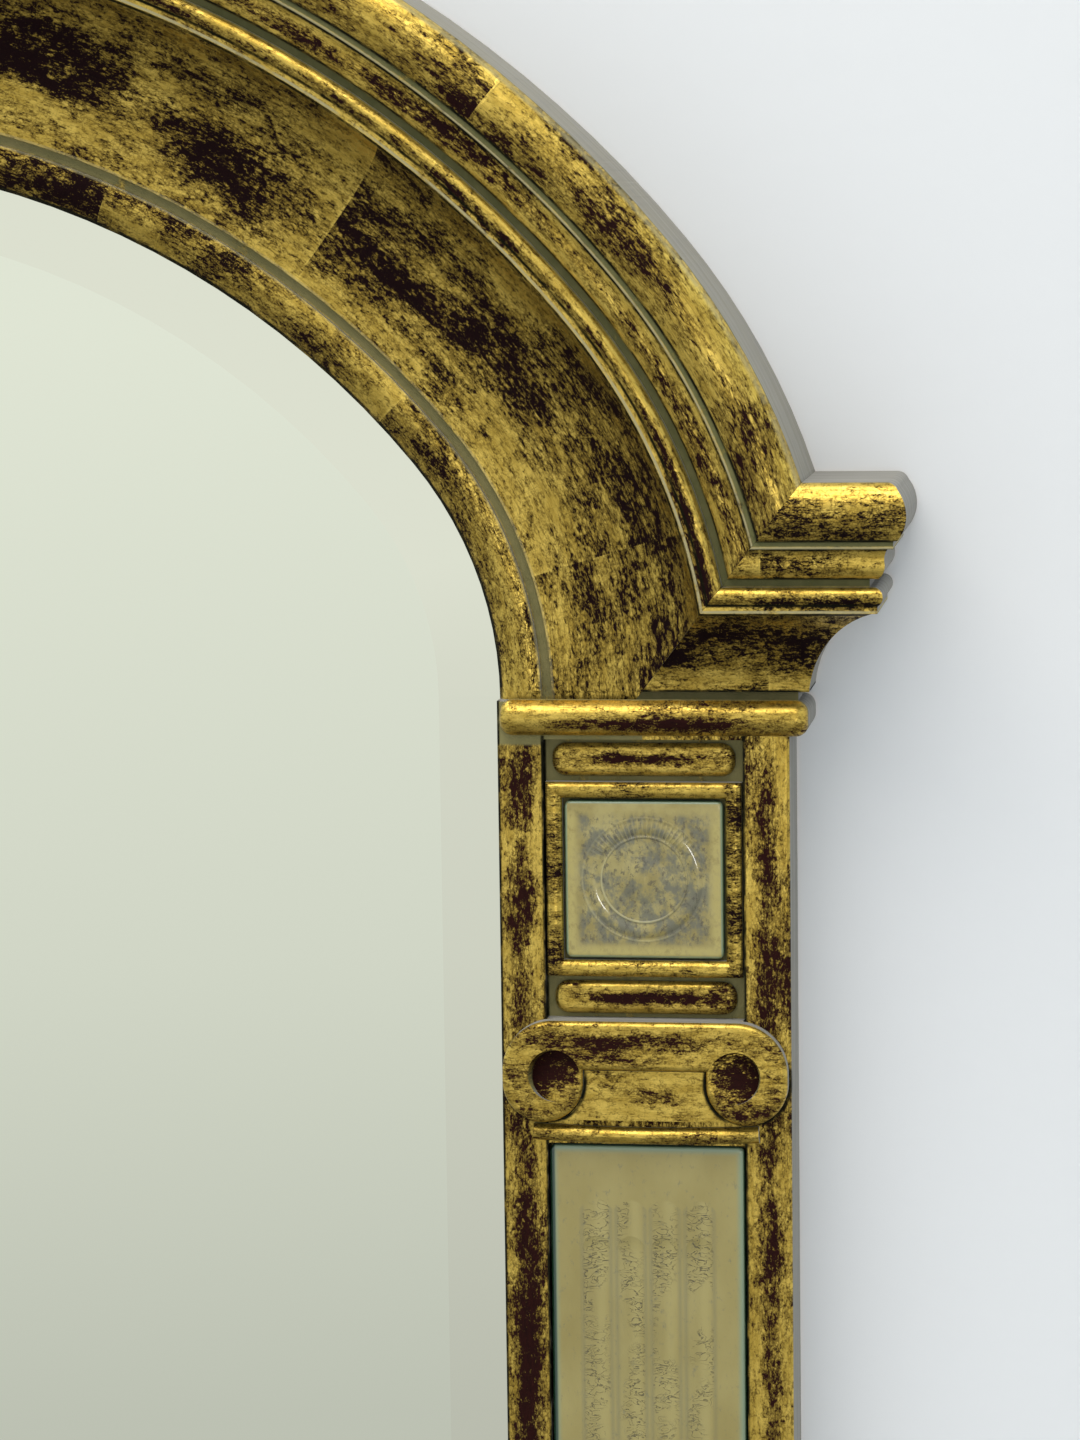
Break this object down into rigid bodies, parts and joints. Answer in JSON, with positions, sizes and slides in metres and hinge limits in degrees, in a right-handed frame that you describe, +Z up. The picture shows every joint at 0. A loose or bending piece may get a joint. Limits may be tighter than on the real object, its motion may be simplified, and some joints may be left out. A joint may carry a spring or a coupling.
{
  "type": "arched mirror",
  "caption": "Arched wall mirror: a bevelled plate in a worn gilded frame, whose moulded arch stands on pilasters with scroll capitals and pressed glass panels.",
  "frame": {"origin": "midway between the two keyholes of the hanger plates, on the wall plane", "axes": "+X to the viewer's right, +Y into the wall, +Z up"},
  "size_m": [0.893, 0.071, 1.1312],
  "materials": {
    "gilded_wood": "metal leaf over dark red-brown bole, rubbed through",
    "pressed_glass": "pressed glass over a bed of aged gold leaf",
    "mirror": "silvered, bevelled",
    "hardboard": "smooth hardboard",
    "brass": "satin",
    "steel": "zinc plated",
    "bare_wood": "bare beech"
  },
  "bodies": {
    "frame": {"arch_rail": "gilded_wood", "arch_crown_moulding": "gilded_wood", "cornice_return_right": "gilded_wood", "cornice_return_left": "gilded_wood", "base_moulding": "gilded_wood", "stile_right": "gilded_wood", "stile_left": "gilded_wood", "bottom_rail": "gilded_wood", "astragal_right": "gilded_wood", "astragal_left": "gilded_wood", "column_base_bar_right": "gilded_wood", "column_base_bar_left": "gilded_wood", "column_base_torus_right": "gilded_wood", "column_base_torus_left": "gilded_wood", "capital_upper_bar_right": "gilded_wood", "capital_upper_bar_left": "gilded_wood", "capital_lower_bar_right": "gilded_wood", "capital_lower_bar_left": "gilded_wood", "capital_bezel_right": "gilded_wood", "capital_bezel_left": "gilded_wood", "capital_rosette_glass_right": "pressed_glass", "capital_rosette_glass_left": "pressed_glass", "plinth_upper_bar_right": "gilded_wood", "plinth_upper_bar_left": "gilded_wood", "plinth_lower_bar_right": "gilded_wood", "plinth_lower_bar_left": "gilded_wood", "plinth_bezel_right": "gilded_wood", "plinth_bezel_left": "gilded_wood", "plinth_rosette_glass_right": "pressed_glass", "plinth_rosette_glass_left": "pressed_glass", "scroll_capital_right": "gilded_wood", "scroll_capital_left": "gilded_wood", "echinus_right": "gilded_wood", "echinus_left": "gilded_wood", "neck_bar_right": "gilded_wood", "neck_bar_left": "gilded_wood", "shaft_glass_right": "pressed_glass", "shaft_glass_left": "pressed_glass", "mirror_plate": "mirror", "backing_board": "hardboard", "joint_dowels": "bare_wood", "turn_button_screws": "steel", "hanger_plate_right": "steel", "hanger_plate_left": "steel", "hanger_screws": "steel"},
    "turn_button_right_lower": {"turn_button_right_lower": "brass"},
    "turn_button_right_upper": {"turn_button_right_upper": "brass"},
    "turn_button_left_lower": {"turn_button_left_lower": "brass"},
    "turn_button_left_upper": {"turn_button_left_upper": "brass"},
    "turn_button_arch_right": {"turn_button_arch_right": "brass"},
    "turn_button_arch_left": {"turn_button_arch_left": "brass"},
    "turn_button_bottom_right": {"turn_button_bottom_right": "brass"},
    "turn_button_bottom_left": {"turn_button_bottom_left": "brass"}
  },
  "joints": [
    {"name": "turn_button_right_lower_pivot", "type": "hinge", "parent": "frame", "child": "turn_button_right_lower", "pos_m": [0.3095, -0.0079, -0.43897], "axis": [0, 1, 0], "range_deg": [-105, 105]},
    {"name": "turn_button_right_upper_pivot", "type": "hinge", "parent": "frame", "child": "turn_button_right_upper", "pos_m": [0.3095, -0.0079, -0.08073], "axis": [0, 1, 0], "range_deg": [-105, 105]},
    {"name": "turn_button_left_lower_pivot", "type": "hinge", "parent": "frame", "child": "turn_button_left_lower", "pos_m": [-0.3095, -0.0079, -0.43897], "axis": [0, 1, 0], "range_deg": [-105, 105]},
    {"name": "turn_button_left_upper_pivot", "type": "hinge", "parent": "frame", "child": "turn_button_left_upper", "pos_m": [-0.3095, -0.0079, -0.08073], "axis": [0, 1, 0], "range_deg": [-105, 105]},
    {"name": "turn_button_arch_right_pivot", "type": "hinge", "parent": "frame", "child": "turn_button_arch_right", "pos_m": [0.16479, -0.0079, 0.25351], "axis": [0, 1, 0], "range_deg": [-105, 105]},
    {"name": "turn_button_arch_left_pivot", "type": "hinge", "parent": "frame", "child": "turn_button_arch_left", "pos_m": [-0.16479, -0.0079, 0.25351], "axis": [0, 1, 0], "range_deg": [-105, 105]},
    {"name": "turn_button_bottom_right_pivot", "type": "hinge", "parent": "frame", "child": "turn_button_bottom_right", "pos_m": [0.15, -0.0079, -0.6027], "axis": [0, 1, 0], "range_deg": [-105, 105]},
    {"name": "turn_button_bottom_left_pivot", "type": "hinge", "parent": "frame", "child": "turn_button_bottom_left", "pos_m": [-0.15, -0.0079, -0.6027], "axis": [0, 1, 0], "range_deg": [-105, 105]}
  ]
}
